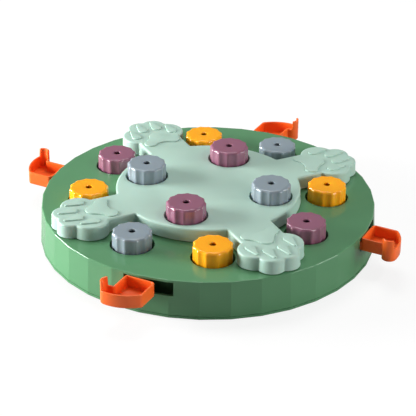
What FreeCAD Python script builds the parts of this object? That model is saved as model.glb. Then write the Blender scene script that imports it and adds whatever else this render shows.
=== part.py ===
"""Treat puzzle for dogs: a faceted base with lift-out pegs, a turning paw plate and swing-out trays.

Frame: millimetres, +Z up. The origin is on the axis of the turning plate, in the plane of the
rubber feet. The toy repeats by quarter turns about Z: each quarter has its tray and its pegs about
one of the axes +X, +Y, -X and -Y, in that order, and the paws lie on the diagonals.
The trays are drawn closed about their pivot pins and stored swung open, as the toy is shown.
"""
import FreeCAD, Part
import math
import os
import Sketcher

QUARTERS = range(4)
SIDES = (-1, 1)

SIZES = [
    # Faceted base
    ("base_radius", 145.0, "centre to a corner of the faceted top plate"),
    ("wall_flare", 1.5, "foot of the wall beyond the top plate"),
    ("facet_count", 36, "flat facets round the wall"),
    ("base_top", 35.0, "feet plane to the top of the green plate"),
    ("foot_proud", 1.0, "rubber feet below the cover"),
    ("cover_edge", 2.0, "visible edge and thickness of the bottom cover"),
    ("plate_thickness", 2.0, "top plate"),
    ("wall_thickness", 2.5, "outer wall"),
    ("rim_round", 0.8, "rounding of the plate's rim"),
    # Pegs
    ("peg_radius", 17.0, "centre to a crest of the fluted side"),
    ("peg_height", 23.0, "whole peg"),
    ("peg_wall", 1.8, "side wall behind the deepest flute"),
    ("peg_top", 2.0, "top of the peg"),
    ("peg_hole_radius", 3.0, "scent hole in the top"),
    ("peg_round", 1.2, "rounding of the top edge"),
    ("flute_count", 12, "flutes round the side"),
    ("flute_depth", 0.9, "crest to the bottom of a flute"),
    ("flute_land", 1.2, "width of a crest"),
    ("outer_flute_turn", 15.0, "degrees from the X axis to a flute of an outer peg"),
    ("inner_flute_turn", 0.0, "the same for an inner peg, from the paw plate's own X axis"),
    # Wells that hold the pegs
    ("well_clearance", 1.6, "gap round a peg in its well"),
    ("well_wall", 1.8, "side of a well in the base"),
    ("well_floor", 1.8, "floor of a well in the base"),
    ("well_depth", 10.5, "surface to the floor of a well"),
    ("well_beside", 4.6, "paw plate's disc to the wells in the base"),
    ("outer_spread", 19.8, "degrees from a quarter's middle to its outer pegs"),
    ("well_inset", 4.8, "edge of the paw plate's disc to its own wells"),
    # Turning paw plate
    ("plate_rise", 12.5, "green plate to the top of the paw plate"),
    ("plate_gap", 0.6, "green plate to the lower edge of the paw plate"),
    ("plate_turn", -1.4, "degrees that the paw plate stands off the quarters"),
    ("disc_radius", 80.5, "centre disc of the paw plate"),
    ("paw_wall", 2.0, "skin and side of the paw plate"),
    ("paw_round", 1.8, "rounding of its top edge"),
    ("neck_half", 20.2, "half the width of an arm"),
    ("heel_out", 116.5, "axis to the outer toe lobes"),
    ("heel_side", 13.6, "arm's middle to an outer toe lobe"),
    ("heel_radius", 15.6, "outer toe lobe"),
    ("toe_out", 131.0, "axis to the middle toe lobes"),
    ("toe_side", 6.5, "arm's middle to a middle toe lobe"),
    ("toe_radius", 11.8, "middle toe lobe"),
    ("inner_well_floor", 1.2, "floor of a well in the paw plate"),
    ("stiffener", 1.6, "ribs under the paw plate"),
    # Raised pads of a paw
    ("pad_proud", 0.9, "pads above the paw plate"),
    ("pad_round", 4.3, "round end of a toe pad"),
    ("pad_tip", 1.4, "pointed end of a toe pad"),
    ("pad_length", 11.9, "between the centres of a toe pad's ends"),
    ("side_pad_behind", 17.2, "middle toe lobes back to the round ends of the outer toe pads"),
    ("side_pad_side", 17.6, "arm's middle to an outer toe pad"),
    ("mid_pad_behind", 6.7, "middle toe lobes back to the round ends of the middle toe pads"),
    ("mid_pad_side", 6.8, "arm's middle to a middle toe pad"),
    ("palm_lobe", 5.8, "rear lobe of the palm pad"),
    ("palm_lobe_behind", 34.6, "middle toe lobes back to the palm pad's rear lobes"),
    ("palm_lobe_side", 11.2, "arm's middle to a rear lobe"),
    ("palm_front", 7.0, "front of the palm pad"),
    ("palm_front_behind", 23.2, "middle toe lobes back to the front of the palm pad"),
    ("palm_hollow", 12.0, "hollow between the rear lobes"),
    ("palm_waist", 20.0, "hollow sides between the rear lobes and the front"),
    # Spindle of the paw plate
    ("spindle_radius", 9.0, "spindle under the paw plate"),
    ("spindle_wall", 2.2, "tube of the spindle"),
    ("spindle_core", 4.2, "screw post inside the spindle"),
    ("spindle_fit", 0.08, "running clearance of the spindle in its hub"),
    ("hub_wall", 3.0, "hub of the base"),
    ("hub_depth", 9.0, "top of the plate to the lower face of the hub"),
    ("thrust_width", 4.0, "thrust ring round the hub"),
    ("thrust_gap", 0.1, "thrust ring to the paw plate"),
    ("spindle_play", 0.2, "hub to the retaining washer"),
    ("washer_radius", 13.0, "retaining washer"),
    ("washer_thickness", 1.6, "retaining washer"),
    ("axle_screw_radius", 2.0, "screw that holds the washer"),
    ("axle_screw_length", 12.0, "below its head"),
    ("axle_head_radius", 3.8, "head of that screw"),
    ("axle_head_height", 2.4, "head of that screw"),
    ("thread_fit", 0.05, "screw in its pilot hole"),
    # Swing-out trays, drawn closed about the pivot
    ("pivot_inset", 4.95, "flat face of the wall to the pivot line of a closed tray"),
    ("pivot_side", 21.8, "quarter's middle to the pivot"),
    ("pin_radius", 1.5, "steel pivot pin"),
    ("pin_fit", 0.05, "running clearance round a pin"),
    ("tray_open", 100.0, "degrees from closed to open"),
    ("tray_drop", 13.8, "top of the plate to the underside of a tray"),
    ("tray_height", 11.5, "underside to the rim"),
    ("tray_wall", 1.6, "walls of a tray"),
    ("tray_floor", 1.5, "floor of a tray"),
    ("tray_reach", 36.2, "pivot to the curved wall"),
    ("tray_back", 3.3, "pivot to the back wall"),
    ("tray_front", 1.6, "pivot line to the front wall's outer face"),
    ("tray_depth", 25.5, "pivot line to the inner wall's outer face"),
    ("tray_corner", 3.4, "rounding of the tray's inner corners"),
    ("barrel_radius", 3.2, "knuckle round the pin"),
    ("barrel_height", 8.0, "knuckle round the pin"),
    ("ear_inward", 2.2, "pivot line to the inner side of the knuckle's ear"),
    ("tab_radius", 6.2, "curved finger tab"),
    ("tab_side", 3.2, "pivot line to the tab's centre"),
    ("tab_rise", 8.0, "tab above the tray's rim"),
    ("tab_gap", 0.4, "closed tab to the base's wall"),
    # Tray slots, pivot posts and stops in the base
    ("slot_near_gap", 0.5, "end of the stop lug to the near end of its slot"),
    ("slot_far_gap", 2.2, "tray's reach to the far end of its slot"),
    ("slot_drop", 14.3, "top of the plate to the lower edge of a slot"),
    ("tray_play", 0.3, "tray to what carries it"),
    ("boss_radius", 2.8, "post above the knuckle"),
    ("block_half", 4.0, "half the width of the pivot block"),
    ("block_depth", 5.6, "pivot block inwards of the pin"),
    ("stop_radius", 0.8, "stop post on the pivot block"),
    ("stop_out", 4.3, "pin to the stop post"),
    ("frame_spread", 15.0, "degrees from a quarter's middle to the seams beside its slot"),
    ("stop_angle", 60.0, "degrees from the wall line to the stop post"),
    ("stop_height", 3.0, "stop post above the block"),
    ("lug_reach", 4.4, "pin to the end of the stop lug"),
    ("lug_height", 2.4, "stop lug"),
    ("lug_gap", 0.1, "lug to the stop post"),
    ("socket_floor", 1.2, "plate left above a pin"),
    ("pin_play", 0.4, "above a pin"),
    # Bottom cover and its screws
    ("rest_inset", 16.5, "pivot line to the rib that carries a closed tray"),
    ("rest_length", 34.0, "that rib"),
    ("rest_thickness", 1.6, "that rib"),
    ("far_boss_inset", 15.0, "corner of the wall to the screws on the diagonals"),
    ("near_boss_ring", 88.0, "axis to the screws in the quarters' middles"),
    ("screw_radius", 1.45, "cover screw"),
    ("screw_length", 14.0, "below its head"),
    ("head_radius", 2.8, "screw head"),
    ("head_height", 1.8, "screw head"),
    ("head_sunk", 0.6, "screw head above the cover's underside"),
    ("head_clearance", 0.4, "round a screw head"),
    ("screw_clearance", 0.3, "screw through the cover"),
    ("post_wall", 1.8, "round a sunk screw head"),
    ("post_top", 2.0, "above a sunk screw head"),
    ("boss_wall", 2.4, "round a pilot hole"),
    # Rubber feet
    ("foot_radius", 7.0, "rubber foot"),
    ("foot_inset", 19.0, "corner of the wall to the middle of a foot"),
    ("foot_count", 8, "rubber feet"),
    ("foot_sunk", 1.0, "foot in its recess"),
    ("foot_clearance", 0.15, "round a foot in its recess"),
    ("foot_phase", 22.5, "degrees to the first foot"),
]

doc = FreeCAD.newDocument("treat_puzzle")
sheet = doc.addObject("Spreadsheet::Sheet", "Size")
for row, (alias, value, meaning) in enumerate(SIZES, start=1):
    sheet.set(f"A{row}", alias)
    sheet.set(f"B{row}", str(value))
    sheet.set(f"C{row}", meaning)
    sheet.setAlias(f"B{row}", alias)
doc.recompute()

# Levels and sizes that follow from the driving sizes
COVER_UNDER = "Size.foot_proud"
SEAM = "(Size.foot_proud + Size.cover_edge)"
PLATE_TOP = "Size.base_top"
PLATE_UNDER = "(Size.base_top - Size.plate_thickness)"
WELL_RADIUS = "(Size.peg_radius + Size.well_clearance)"
WELL_FLOOR = "(Size.base_top - Size.well_depth)"
OUTER_RING = f"(Size.disc_radius + Size.well_beside + {WELL_RADIUS})"
INNER_RING = f"(Size.disc_radius - Size.well_inset - {WELL_RADIUS})"
PAW_TOP = "(Size.base_top + Size.plate_rise)"
PAW_EDGE = "(Size.base_top + Size.plate_gap)"
PAW_UNDER = f"({PAW_TOP} - Size.paw_wall)"
INNER_FLOOR = f"({PAW_TOP} - Size.well_depth)"
ARM_ROOT = "sqrt(pow(Size.disc_radius; 2) - pow(Size.neck_half; 2))"
HUB_BORE = "(Size.spindle_radius + Size.spindle_fit)"
HUB_BOTTOM = f"({PLATE_TOP} - Size.hub_depth)"
WASHER_TOP = f"({HUB_BOTTOM} - Size.spindle_play)"
PIN_HOLE = "(Size.pin_radius + Size.pin_fit)"
TRAY_LEVEL = f"({PLATE_TOP} - Size.tray_drop)"
SLOT_FLOOR = f"({PLATE_TOP} - Size.slot_drop)"
BLOCK_TOP = f"({TRAY_LEVEL} - Size.tray_play)"
BOSS_BOTTOM = f"({TRAY_LEVEL} + Size.barrel_height + Size.tray_play)"
FACE_OUT = "(Size.base_radius * cos(180 / Size.facet_count))"
PIVOT_OUT = f"({FACE_OUT} - Size.pivot_inset)"
SLOT_NEAR = "(Size.lug_reach + Size.slot_near_gap)"
SLOT_FAR = "(Size.tray_reach + Size.slot_far_gap)"
FOOT_RADIUS = "(Size.base_radius + Size.wall_flare)"
UNDER_FLARE = f"(Size.wall_flare * Size.plate_thickness / ({PLATE_TOP} - {SEAM}))"
WALL_INSET = "(Size.wall_thickness / cos(180 / Size.facet_count))"
HEAD_TOP = "(Size.foot_proud + Size.head_sunk + Size.head_height)"
POST_HEIGHT = f"({HEAD_TOP} + Size.post_top)"
PILOT_RADIUS = "(Size.screw_radius + Size.thread_fit)"


def size(expression):
    """Value of an expression over the sheet, for choices that are made in code."""
    value = sheet.evalExpression(expression)
    return getattr(value, "Value", value)


def place(thing, angle="0", out="0", side="0", level="0", extra="0"):
    """Turn a piece about Z by angle, then move it out and sideways along its own turned axes."""
    thing.setExpression("Placement.Rotation.Angle", f"({angle}) + ({extra})")
    thing.setExpression("Placement.Base.x", f"({out}) * cos({angle}) - ({side}) * sin({angle})")
    thing.setExpression("Placement.Base.y", f"({out}) * sin({angle}) + ({side}) * cos({angle})")
    thing.setExpression("Placement.Base.z", level)
    return thing


def cylinder(name, radius, height, **where):
    """Upright cylinder whose base centre is placed."""
    thing = doc.addObject("Part::Cylinder", name)
    thing.setExpression("Radius", radius)
    thing.setExpression("Height", height)
    return place(thing, **where)


def box(name, length, width, height, **where):
    """Box whose corner is placed; length runs outwards and width sideways."""
    thing = doc.addObject("Part::Box", name)
    thing.setExpression("Length", length)
    thing.setExpression("Width", width)
    thing.setExpression("Height", height)
    return place(thing, **where)


def facets(name, radius, height, level):
    """Faceted drum with a flat facet in the middle of each quarter."""
    thing = doc.addObject("Part::Prism", name)
    thing.setExpression("Polygon", "Size.facet_count")
    thing.setExpression("Circumradius", radius)
    thing.setExpression("Height", height)
    return place(thing, angle="180 / Size.facet_count", level=level)


def flared_facets(name, foot_radius, foot_level, top_radius, top_level):
    """Faceted drum that narrows from its foot to its top."""
    rings = []
    for end, radius, level in (("foot", foot_radius, foot_level), ("top", top_radius, top_level)):
        ring = doc.addObject("Part::RegularPolygon", f"{name}_{end}")
        ring.setExpression("Polygon", "Size.facet_count")
        ring.setExpression("Circumradius", radius)
        rings.append(place(ring, angle="180 / Size.facet_count", level=level))
    thing = doc.addObject("Part::Loft", name)
    thing.Sections = rings
    thing.Solid = True
    thing.Ruled = True
    return thing


def fuse(name, parts):
    """One solid made of overlapping parts."""
    thing = doc.addObject("Part::MultiFuse", name)
    thing.Shapes = parts
    thing.Refine = True
    return thing


def cut(name, base, tools):
    """Base less all the tools."""
    tool = tools[0]
    if len(tools) > 1:
        tool = doc.addObject("Part::MultiFuse", f"{name}_tools")
        tool.Shapes = tools
    thing = doc.addObject("Part::Cut", name)
    thing.Base = base
    thing.Tool = tool
    thing.Refine = True
    return thing


def common(name, first, second):
    """What two parts share."""
    thing = doc.addObject("Part::Common", name)
    thing.Base = first
    thing.Tool = second
    return thing


def rounded(name, base, radius, chosen):
    """Base with the chosen edges rounded; chosen tests one edge."""
    doc.recompute()
    thing = doc.addObject("Part::Fillet", name)
    thing.Base = base
    value = size(radius)
    edges = base.Shape.Edges
    thing.Edges = [(number + 1, value, value) for number, edge in enumerate(edges) if chosen(edge)]
    return thing


def origin_part(body, role):
    """One plane or axis of a body's own origin."""
    return next(part for part in body.Origin.OriginFeatures if part.Role == role)


def sketch_on(body, name, level="0"):
    """Sketch on a body's ground plane, lifted to a level."""
    sketch = body.newObject("Sketcher::SketchObject", name)
    sketch.AttachmentSupport = [(origin_part(body, "XY_Plane"), "")]
    sketch.MapMode = "FlatFace"
    sketch.setExpression("AttachmentOffset.Base.z", level)
    return sketch


def circle_sketch(body, name, radius, out=None):
    """Circle about the origin, or with its centre out along the X axis."""
    sketch = sketch_on(body, name)
    start = FreeCAD.Vector(size(out) if out else 0, 0, 0)
    sketch.addGeometry(Part.Circle(start, FreeCAD.Vector(0, 0, 1), size(radius)), False)
    sketch.addConstraint(Sketcher.Constraint("Radius", 0, size(radius)))
    sketch.renameConstraint(0, "radius")
    sketch.setExpression("Constraints.radius", radius)
    if out:
        sketch.addConstraint(Sketcher.Constraint("PointOnObject", 0, 3, -1))
        sketch.addConstraint(Sketcher.Constraint("DistanceX", -1, 1, 0, 3, size(out)))
        sketch.renameConstraint(2, "out")
        sketch.setExpression("Constraints.out", out)
    else:
        sketch.addConstraint(Sketcher.Constraint("Coincident", 0, 3, -1, 1))
    return sketch


def feature(body, kind, name, sketch, length):
    """Pad or Pocket of a sketch, both running up from the sketch."""
    thing = body.newObject(f"PartDesign::{kind}", name)
    thing.Profile = sketch
    thing.setExpression("Length", length)
    thing.Reversed = kind == "Pocket"
    body.Tip = thing
    return thing


def ring_pattern(body, name, original, count):
    """Copies of a feature evenly round Z."""
    thing = body.newObject("PartDesign::PolarPattern", name)
    thing.Originals = [original]
    thing.Axis = (origin_part(body, "Z_Axis"), [""])
    thing.Angle = 360
    thing.setExpression("Occurrences", count)
    body.Tip = thing
    return thing


def top_plate():
    """Green plate with its well holes, hub, thrust ring and screw bosses."""
    drum = flared_facets("plate_drum", f"Size.base_radius + {UNDER_FLARE}", PLATE_UNDER, "Size.base_radius",
                         PLATE_TOP)

    def on_rim(edge):
        return all(abs(vertex.Z - size(PLATE_TOP)) < 1e-6 for vertex in edge.Vertexes)

    rimmed = rounded("plate_rimmed", drum, "Size.rim_round", on_rim)
    hub = cylinder("hub", f"{HUB_BORE} + Size.hub_wall", "Size.hub_depth", level=HUB_BOTTOM)
    thrust = cylinder("thrust_ring", f"{HUB_BORE} + Size.hub_wall + Size.thrust_width",
                      "Size.plate_thickness + Size.plate_gap - Size.thrust_gap", level=PLATE_UNDER)
    added = [rimmed, hub, thrust]
    removed = [cylinder("hub_bore", HUB_BORE, "2 * Size.base_top", level="0")]
    for quarter in QUARTERS:
        removed.append(pin_hole(f"socket_{quarter}", quarter))
        for side in SIDES:
            removed.append(cylinder(f"well_hole_{quarter}_{side + 1}", WELL_RADIUS,
                                    "2 * Size.plate_thickness", level=f"{PLATE_UNDER} - Size.plate_thickness / 2",
                                    **outer_place(quarter, side)))
        for name, ring, angle in screw_places(quarter):
            added.append(cylinder(f"boss_{name}", f"{PILOT_RADIUS} + Size.boss_wall",
                                  f"{PLATE_UNDER} - {POST_HEIGHT}", angle=angle, out=ring, level=POST_HEIGHT))
            removed.append(cylinder(f"pilot_{name}", PILOT_RADIUS, "Size.screw_length", angle=angle, out=ring,
                                    level=HEAD_TOP))
    return cut("top_plate", fuse("plate_with_bosses", added), removed)


def pivot_bosses():
    """Short posts under the plate that hold the upper ends of the pivot pins."""
    group = doc.addObject("Part::Compound", "pivot_bosses")
    group.Links = [cut(f"pivot_boss_{quarter}",
                       cylinder(f"pivot_post_{quarter}", "Size.boss_radius", f"{PLATE_UNDER} - {BOSS_BOTTOM}",
                                level=BOSS_BOTTOM, **pivot_place(quarter)),
                       [pin_hole(f"boss_hole_{quarter}", quarter)]) for quarter in QUARTERS]
    return group


def wall_pieces():
    """Flared, faceted wall under the plate: plain arcs, and frames with a slot and a pivot block each."""
    foot_inside = f"{FOOT_RADIUS} - {WALL_INSET}"
    top_radius = f"Size.base_radius + {UNDER_FLARE}"
    drum = flared_facets("wall_drum", FOOT_RADIUS, SEAM, top_radius, PLATE_UNDER)
    cavity = flared_facets("wall_cavity", foot_inside, SEAM, f"{top_radius} - {WALL_INSET}", PLATE_UNDER)
    ring = cut("wall_ring", drum, [cavity] + [slot_cut(quarter) for quarter in QUARTERS])
    added = [ring]
    for quarter in QUARTERS:
        added += pivot_block(quarter)
    whole = cut("whole_wall", fuse("wall_with_blocks", added),
                [pin_hole(f"pin_hole_{quarter}", quarter) for quarter in QUARTERS])
    half = "(Size.base_radius * sin(Size.frame_spread))"
    about = [box(f"about_{quarter}", "Size.base_radius", f"2 * {half}", PLATE_TOP, angle=f"{90 * quarter}",
                 out="Size.base_radius / 2", side=f"0 - {half}") for quarter in QUARTERS]
    frames = doc.addObject("Part::Compound", "slot_frames")
    frames.Links = [common(f"slot_frame_{quarter}", whole, about[quarter]) for quarter in QUARTERS]
    return [cut("base_shell", whole, about), frames]


def cup(name, wall, floor_level, floor, top_level, **where):
    """Open cup under a well hole."""
    outside = cylinder(f"{name}_outside", f"{WELL_RADIUS} + {wall}", f"{top_level} - {floor_level} + {floor}",
                       level=f"{floor_level} - {floor}", **where)
    inside = cylinder(f"{name}_inside", WELL_RADIUS, "2 * Size.well_depth", level=floor_level, **where)
    return cut(name, outside, [inside])


def peg_wells():
    """Eight wells of the base, under the holes in its plate."""
    group = doc.addObject("Part::Compound", "peg_wells")
    group.Links = [cup(f"peg_well_{quarter}_{side + 1}", "Size.well_wall", WELL_FLOOR, "Size.well_floor",
                       PLATE_UNDER, **outer_place(quarter, side)) for quarter in QUARTERS for side in SIDES]
    return group


def outer_place(quarter, side):
    """Where a peg of the base stands."""
    return {"angle": f"{90 * quarter} + {side} * Size.outer_spread", "out": OUTER_RING}


def pivot_place(quarter):
    """Where a tray's pivot stands."""
    return {"angle": f"{90 * quarter}", "out": PIVOT_OUT, "side": "0 - Size.pivot_side"}


def screw_places(quarter):
    """Names, rings and angles of a quarter's two cover screws."""
    return [(f"near_{quarter}", "Size.near_boss_ring", f"{90 * quarter}"),
            (f"far_{quarter}", "(Size.base_radius - Size.far_boss_inset)", f"{90 * quarter + 45}")]


def slot_cut(quarter):
    """Opening in the wall that a tray swings through."""
    deep = "2 * Size.wall_thickness"
    return box(f"slot_{quarter}", f"2 * {deep} + Size.pivot_inset + Size.wall_flare",
               f"{SLOT_NEAR} + {SLOT_FAR}", "Size.slot_drop", angle=f"{90 * quarter}",
               out=f"{PIVOT_OUT} - {deep}", side=f"0 - Size.pivot_side - {SLOT_NEAR}", level=SLOT_FLOOR)


def pivot_block(quarter):
    """Post under a tray's knuckle, with its stop."""
    turn = f"{90 * quarter}"
    side = "Size.pivot_side"
    block = box(f"block_{quarter}", "Size.block_depth + Size.pivot_inset", "2 * Size.block_half",
                f"{BLOCK_TOP} - {SEAM}", angle=turn, out=f"{PIVOT_OUT} - Size.block_depth",
                side=f"0 - {side} - Size.block_half", level=SEAM)
    stop = cylinder(f"stop_{quarter}", "Size.stop_radius", "2 * Size.stop_height", angle=turn,
                    out=f"{PIVOT_OUT} - Size.stop_out * sin(Size.stop_angle)",
                    side=f"Size.stop_out * cos(Size.stop_angle) - {side}",
                    level=f"{BLOCK_TOP} - Size.stop_height")
    return [block, stop]


def pin_hole(name, quarter):
    """Blind hole for a pivot pin, open downwards."""
    return cylinder(name, PIN_HOLE, f"{PLATE_TOP} - Size.socket_floor - {SEAM}", level=SEAM,
                    **pivot_place(quarter))


def bottom_cover():
    """Cover that closes the base from below, with the ribs that carry the closed trays."""
    added = [facets("cover_plate", FOOT_RADIUS, "Size.cover_edge", COVER_UNDER)]
    removed = []
    for quarter in QUARTERS:
        added.append(box(f"rest_{quarter}", "Size.rest_thickness", "Size.rest_length",
                         f"{BLOCK_TOP} - {COVER_UNDER}", angle=f"{90 * quarter}",
                         out=f"{PIVOT_OUT} - Size.rest_inset", side="0 - Size.rest_length / 2",
                         level=COVER_UNDER))
        for name, ring, angle in screw_places(quarter):
            where = {"angle": angle, "out": ring, "level": COVER_UNDER}
            sunk = "Size.head_radius + Size.head_clearance"
            added.append(cylinder(f"post_{name}", f"{sunk} + Size.post_wall",
                                  f"{POST_HEIGHT} - {COVER_UNDER}", **where))
            removed.append(cylinder(f"sink_{name}", sunk, f"{HEAD_TOP} - {COVER_UNDER}", **where))
            removed.append(cylinder(f"through_{name}", "Size.screw_radius + Size.screw_clearance",
                                    f"{POST_HEIGHT} - {COVER_UNDER}", **where))
    for number in range(int(sheet.get("foot_count"))):
        removed.append(cylinder(f"foot_recess_{number}", "Size.foot_radius + Size.foot_clearance",
                                "Size.foot_sunk", level=COVER_UNDER, **foot_place(number)))
    return cut("bottom_cover", fuse("cover_body", added), removed)


def foot_place(number):
    """Where one rubber foot stands."""
    return {"angle": f"Size.foot_phase + {number} * 360 / Size.foot_count",
            "out": "Size.base_radius - Size.foot_inset"}


def rubber_feet():
    """Feet glued into the cover's recesses."""
    feet = [cylinder(f"foot_{number}", "Size.foot_radius", "Size.foot_proud + Size.foot_sunk",
                     **foot_place(number))
            for number in range(int(sheet.get("foot_count")))]
    group = doc.addObject("Part::Compound", "rubber_feet")
    group.Links = feet
    return group


def cover_screws():
    """Screws that hold the cover, driven from below."""
    screws = []
    for quarter in QUARTERS:
        for name, ring, angle in screw_places(quarter):
            where = {"angle": angle, "out": ring}
            head = cylinder(f"head_{name}", "Size.head_radius", "Size.head_height",
                            level=f"{HEAD_TOP} - Size.head_height", **where)
            shank = cylinder(f"shank_{name}", "Size.screw_radius", "Size.screw_length - Size.thread_fit",
                             level=HEAD_TOP, **where)
            screws.append(fuse(f"screw_{name}", [head, shank]))
    group = doc.addObject("Part::Compound", "cover_screws")
    group.Links = screws
    return group


def paw_outline(prefix, inset, level, height):
    """Disc with four arms that end in paws, drawn in by an inset."""
    parts = [cylinder(f"{prefix}_disc", f"Size.disc_radius - {inset}", height, level=level)]
    for quarter in QUARTERS:
        turn = f"{90 * quarter + 45}"
        parts.append(box(f"{prefix}_arm_{quarter}", f"Size.heel_out - {INNER_RING}",
                         f"2 * (Size.neck_half - {inset})", height, angle=turn, out=INNER_RING,
                         side=f"{inset} - Size.neck_half", level=level))
        for side in SIDES:
            for lobe in ("heel", "toe"):
                parts.append(cylinder(f"{prefix}_{lobe}_{quarter}_{side + 1}",
                                      f"Size.{lobe}_radius - {inset}", height, angle=turn,
                                      out=f"Size.{lobe}_out", side=f"{side} * Size.{lobe}_side",
                                      level=level))
    return fuse(f"{prefix}_outline", parts)


def turning_plate():
    """Mint turning plate in one piece: hollow paws, well holes, spindle and raised pads."""
    rise = f"{PAW_TOP} - {PAW_EDGE}"
    blank = paw_outline("plate", "0", PAW_EDGE, rise)

    def on_top_edge(edge):
        return all(abs(vertex.Z - size(PAW_TOP)) < 1e-6 for vertex in edge.Vertexes)

    skin = rounded("plate_skin", blank, "Size.paw_round", on_top_edge)
    void = paw_outline("void", "Size.paw_wall", PAW_EDGE, f"{rise} - Size.paw_wall")
    shell = cut("plate_shell", skin, [void])
    in_skin = f"({PAW_TOP} - Size.paw_wall / 2)"
    spindle = cylinder("spindle", "Size.spindle_radius", f"{in_skin} - {WASHER_TOP}", level=WASHER_TOP)
    collar = cylinder("spindle_collar", f"{HUB_BORE} + Size.hub_wall", f"{in_skin} - {PAW_EDGE}",
                      level=PAW_EDGE)
    added = [shell, spindle, collar]
    removed = [spindle_core(), cylinder("axle_pilot", "Size.axle_screw_radius + Size.thread_fit",
                                        "Size.axle_screw_length", level=WASHER_TOP)]
    for quarter in QUARTERS:
        removed.append(cylinder(f"turning_well_{quarter}", WELL_RADIUS, "2 * Size.paw_wall",
                                angle=f"{90 * quarter}", out=INNER_RING, level=f"{in_skin} - Size.paw_wall"))
        added.append(box(f"stiffener_{quarter}", f"{ARM_ROOT} - Size.spindle_radius", "Size.stiffener",
                         f"{in_skin} - {INNER_FLOOR}", angle=f"{90 * quarter + 45}",
                         out="Size.spindle_radius", side="0 - Size.stiffener / 2", level=INNER_FLOOR))
    core = cut("plate_core", fuse("plate_body", added), removed)
    doc.recompute()
    body = doc.addObject("PartDesign::Body", "turning_plate")
    body.BaseFeature = core
    doc.recompute()
    pads = feature(body, "Pad", "paw_pads", pad_sketch(body), "Size.pad_proud")
    ring_pattern(body, "paw_pad_ring", pads, f"{len(QUARTERS)}")
    doc.recompute()
    return body


def paw_pieces():
    """The turning plate's disc with its spindle, its four arms with their paws, and its four wells."""
    whole = turning_plate()
    beyond = [box(f"beyond_{quarter}", "Size.base_radius", "Size.base_radius", "2 * Size.base_top",
                  angle=f"{90 * quarter + 45}", out=ARM_ROOT, side="0 - Size.base_radius / 2")
              for quarter in QUARTERS]
    disc = place(cut("paw_plate", whole, beyond), angle="Size.plate_turn")
    arms = doc.addObject("Part::Compound", "paws")
    arms.Links = [place(common(f"paw_{quarter}", whole, beyond[quarter]), angle="Size.plate_turn")
                  for quarter in QUARTERS]
    cups = doc.addObject("Part::Compound", "paw_wells")
    cups.Links = [cup(f"paw_well_{quarter}", "Size.paw_wall", INNER_FLOOR, "Size.inner_well_floor", PAW_UNDER,
                      angle=f"{90 * quarter} + Size.plate_turn", out=INNER_RING) for quarter in QUARTERS]
    return [disc, arms, cups]


def spindle_core():
    """Ring-shaped hollow between the spindle's tube and its screw post."""
    tube = "Size.spindle_radius - Size.spindle_wall"
    height = f"{PAW_TOP} - 2 * Size.paw_wall - {WASHER_TOP}"
    hollow = cylinder("spindle_hollow", tube, height, level=WASHER_TOP)
    post = cylinder("spindle_post", "Size.spindle_core", height, level=WASHER_TOP)
    return cut("spindle_ring", hollow, [post])


def tangent_loop(sketch, discs, bends):
    """Closed outline round a row of discs, joined by tangent lines or by a tangent hollow arc.

    discs: (centre x, centre y, radius) as expressions, counter-clockwise. bends: per joint None
    for a straight tangent, or the radius of the hollow arc to the next disc.
    """
    first = sketch.GeometryCount
    values = [tuple(size(text) for text in disc) for disc in discs]
    count = len(discs)
    starts = []
    for index, (x, y, radius) in enumerate(values):
        before = values[index - 1]
        after = values[(index + 1) % count]
        begin = tangent_angle(before, values[index], bends[index - 1])[1]
        end = tangent_angle(values[index], after, bends[index])[0]
        circle = Part.Circle(FreeCAD.Vector(x, y, 0), FreeCAD.Vector(0, 0, 1), radius)
        sketch.addGeometry(Part.ArcOfCircle(circle, begin, end + (2 * math.pi if end < begin else 0)), False)
        starts.append((begin, end))
    for index in range(count):
        here = first + index
        there = first + (index + 1) % count
        a = point_on(values[index], starts[index][1])
        b = point_on(values[(index + 1) % count], starts[(index + 1) % count][0])
        if bends[index] is None:
            link = sketch.addGeometry(Part.LineSegment(a, b), False)
            sketch.addConstraint(Sketcher.Constraint("Tangent", here, 2, link, 1))
            sketch.addConstraint(Sketcher.Constraint("Tangent", link, 2, there, 1))
        else:
            bend = size(bends[index])
            middle = hollow_centre(values[index], values[(index + 1) % count], bend)
            from_angle = math.atan2(b.y - middle.y, b.x - middle.x)
            to_angle = math.atan2(a.y - middle.y, a.x - middle.x)
            circle = Part.Circle(middle, FreeCAD.Vector(0, 0, 1), bend)
            link = sketch.addGeometry(Part.ArcOfCircle(circle, from_angle, to_angle), False)
            sketch.addConstraint(Sketcher.Constraint("Tangent", here, 2, link, 2))
            sketch.addConstraint(Sketcher.Constraint("Tangent", link, 1, there, 1))
            bind(sketch, "Radius", (link,), bends[index])
    for index, (x, y, radius) in enumerate(discs):
        bind(sketch, "Radius", (first + index,), radius)
        bind(sketch, "DistanceX", (-1, 1, first + index, 3), x)
        bind(sketch, "DistanceY", (-1, 1, first + index, 3), y)


def bind(sketch, kind, where, expression):
    """Add a dimension and tie it to the sheet."""
    number = sketch.addConstraint(Sketcher.Constraint(kind, *where, size(expression)))
    sketch.renameConstraint(number, f"dimension_{number}")
    sketch.setExpression(f"Constraints.dimension_{number}", expression)


def point_on(disc, angle):
    """Point of a disc's rim at an angle."""
    return FreeCAD.Vector(disc[0] + disc[2] * math.cos(angle), disc[1] + disc[2] * math.sin(angle), 0)


def hollow_centre(disc, other, bend):
    """Centre of the arc that touches two discs from outside, on the right of the way from disc to other."""
    gap = math.dist(disc[:2], other[:2])
    near = disc[2] + bend
    far = other[2] + bend
    along = (gap ** 2 + near ** 2 - far ** 2) / (2 * gap)
    across = math.sqrt(near ** 2 - along ** 2)
    heading = math.atan2(other[1] - disc[1], other[0] - disc[0])
    return FreeCAD.Vector(disc[0] + along * math.cos(heading) + across * math.sin(heading),
                          disc[1] + along * math.sin(heading) - across * math.cos(heading), 0)


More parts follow.
